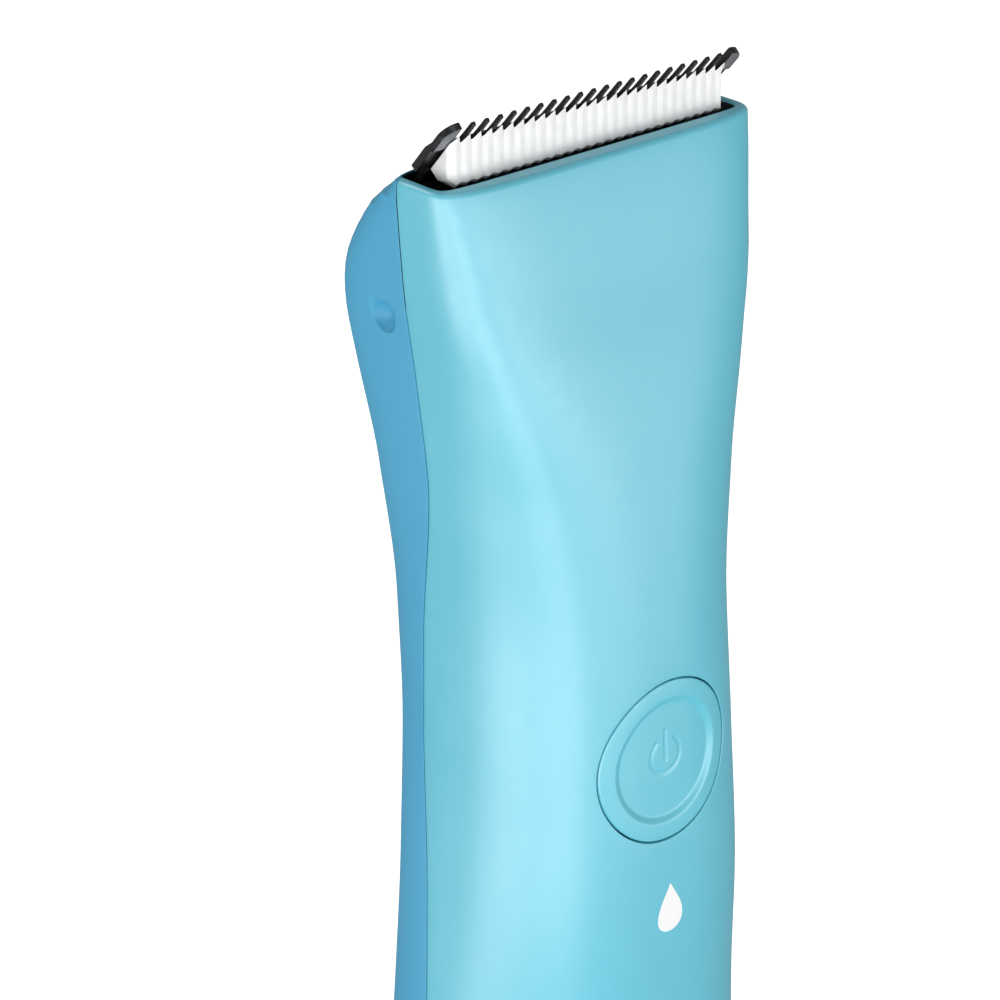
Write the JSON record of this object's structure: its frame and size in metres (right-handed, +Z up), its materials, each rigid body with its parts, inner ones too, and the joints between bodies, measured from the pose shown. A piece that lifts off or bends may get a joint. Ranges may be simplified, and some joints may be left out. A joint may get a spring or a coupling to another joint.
{
  "type": "body groomer",
  "caption": "Cordless body groomer with a waisted two-shell handle, round power button and a leaning toothed blade cassette with a ceramic cutter.",
  "frame": {"origin": "centre of the flat underside of the handle", "axes": "+Z up the handle to the blade, -Y is the front with the power button, X runs along the blade"},
  "size_m": [0.039, 0.0316, 0.158],
  "materials": {
    "front_shell": "satin soft-touch light blue",
    "rear_shell": "satin soft-touch light blue, a little deeper",
    "button": "satin light blue",
    "comb_steel": "satin black coating with bright ground edges",
    "ceramic": "fine ground white ceramic",
    "black_plastic": "moulded matte",
    "grey_plastic": "moulded matte",
    "white_plastic": "moulded satin",
    "steel": "plated",
    "nickel": "rolled strip",
    "rubber": "matte",
    "circuit_board": "solder mask",
    "battery_wrap": "shrink wrap",
    "red_lead": "insulation",
    "black_lead": "insulation"
  },
  "bodies": {
    "handle": {"front_shell": "front_shell", "rear_shell": "rear_shell", "button_seal": "rubber", "switch_body": "black_plastic", "main_board": "circuit_board", "control_chip": "black_plastic", "charge_chip": "black_plastic", "charge_coil": "black_plastic", "inner_frame": "grey_plastic", "board_screw_1": "steel", "board_screw_2": "steel", "board_screw_3": "steel", "board_screw_4": "steel", "frame_screw_1": "steel", "frame_screw_2": "steel", "frame_screw_3": "steel", "frame_screw_4": "steel", "battery_cell": "battery_wrap", "battery_tab_low": "nickel", "battery_tab_high": "nickel", "battery_cradle": "white_plastic", "motor_can": "steel", "motor_end_bell": "white_plastic", "motor_bracket": "grey_plastic", "motor_screw_1": "steel", "motor_screw_2": "steel", "drive_bulkhead": "grey_plastic", "drive_seal": "rubber", "charging_port": "steel", "port_tongue": "black_plastic", "port_seal": "rubber", "motor_lead_minus": "black_lead", "motor_lead_plus": "red_lead", "battery_lead_minus": "black_lead", "battery_lead_plus": "red_lead"},
    "button": {"power_button": "button"},
    "plunger": {"switch_plunger": "white_plastic"},
    "rotor": {"motor_shaft": "steel", "eccentric_cam": "white_plastic"},
    "cassette": {"comb_blade": "comb_steel", "blade_holder": "black_plastic", "comb_screw_1": "steel", "comb_screw_2": "steel", "cutter_spring": "steel"},
    "cutter": {"ceramic_cutter": "ceramic", "cutter_carrier": "black_plastic"}
  },
  "joints": [
    {"name": "button_press", "type": "slide", "parent": "handle", "child": "button", "axis": [0, 1, 0], "range_m": [0, 0.0005], "stiffness_N_per_m": 600},
    {"name": "plunger_press", "type": "slide", "parent": "handle", "child": "plunger", "axis": [0, 1, 0], "range_m": [0, 0.0005]},
    {"name": "rotor_spin", "type": "hinge", "parent": "handle", "child": "rotor", "pos_m": [0, 0.0045, 0.126], "axis": [0, 0, 1], "continuous": true},
    {"name": "cassette_lift", "type": "slide", "parent": "handle", "child": "cassette", "axis": [0, -0.6561, 0.7547], "range_m": [0, 0.03]},
    {"name": "cutter_stroke", "type": "slide", "parent": "cassette", "child": "cutter", "axis": [1, 0, 0], "range_m": [-0.0008, 0.0008]}
  ],
  "couplings": [
    {"joint": "plunger_press", "follows": "button_press", "ratio": 1}
  ]
}
